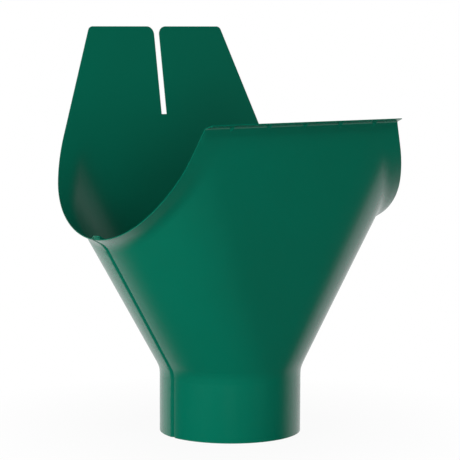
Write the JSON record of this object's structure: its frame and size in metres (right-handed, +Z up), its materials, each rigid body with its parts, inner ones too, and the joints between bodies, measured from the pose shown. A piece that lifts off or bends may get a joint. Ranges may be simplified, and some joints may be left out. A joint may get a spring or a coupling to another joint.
{
  "type": "gutter outlet",
  "caption": "Painted sheet-steel gutter outlet: a half-round saddle with a folded front lip and a tall slotted back tab runs down through a funnel into a round spigot, with lock seams at both ends.",
  "frame": {"origin": "centre of the spigot's lower edge, on the plane it stands on", "axes": "+Z up along the spigot's axis, X along the gutter, -Y towards the front lip and +Y towards the slotted back tab"},
  "size_m": [0.2334, 0.1726, 0.2834],
  "materials": {
    "paint": "satin"
  },
  "bodies": {
    "root": {"front_half": "paint", "back_half": "paint"}
  },
  "joints": []
}
